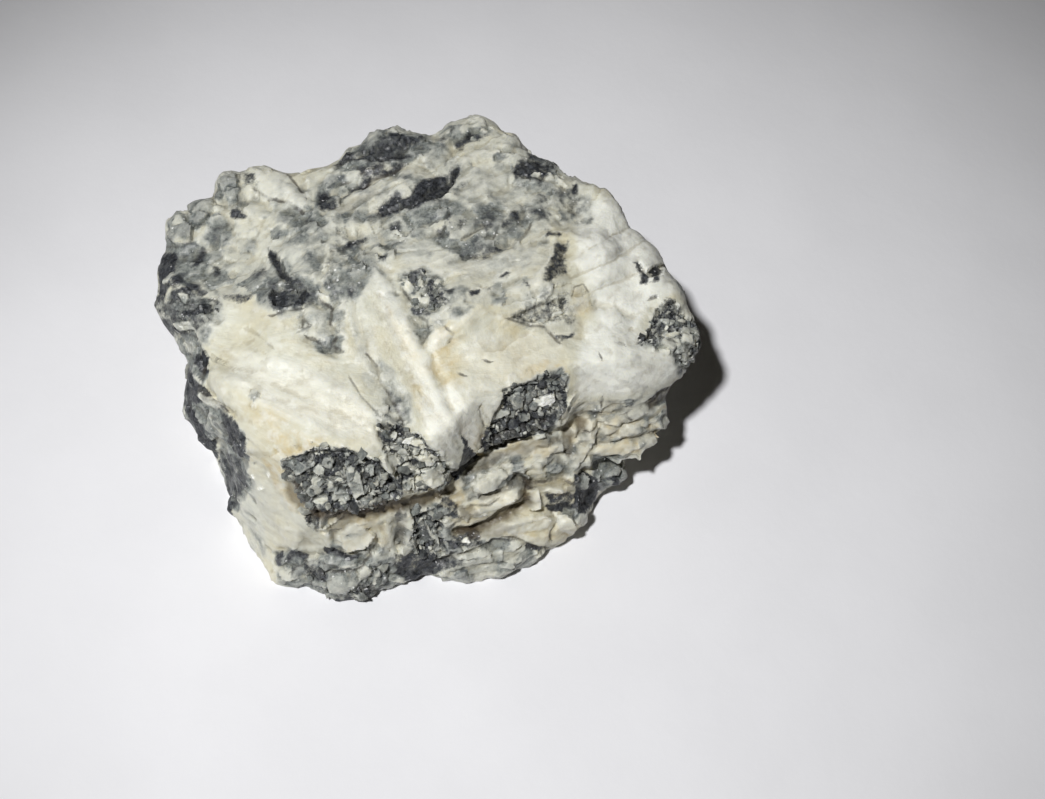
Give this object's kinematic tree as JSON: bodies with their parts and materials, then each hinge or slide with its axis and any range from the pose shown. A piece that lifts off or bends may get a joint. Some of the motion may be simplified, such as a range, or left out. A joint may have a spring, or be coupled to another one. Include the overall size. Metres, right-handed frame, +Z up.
{
  "type": "pinolite hand specimen",
  "caption": "Broken piece of pinolite rock: white magnesite crystal blades grown through dark graphite schist, standing on a flat underside.",
  "frame": {"origin": "middle of the flat underside, at the surface the stone stands on", "axes": "+Z up, +X along the widest span from the left tip to the right corner, -Y towards the ledged front wall"},
  "size_m": [0.0502, 0.0454, 0.0202],
  "materials": {
    "pinolite": "rough broken rock: cream-white cleaved magnesite crystals with a soft glassy sheen, and dark grey to black graphite schist with small glinting grains"
  },
  "bodies": {
    "root": {"stone": "pinolite"}
  },
  "joints": []
}
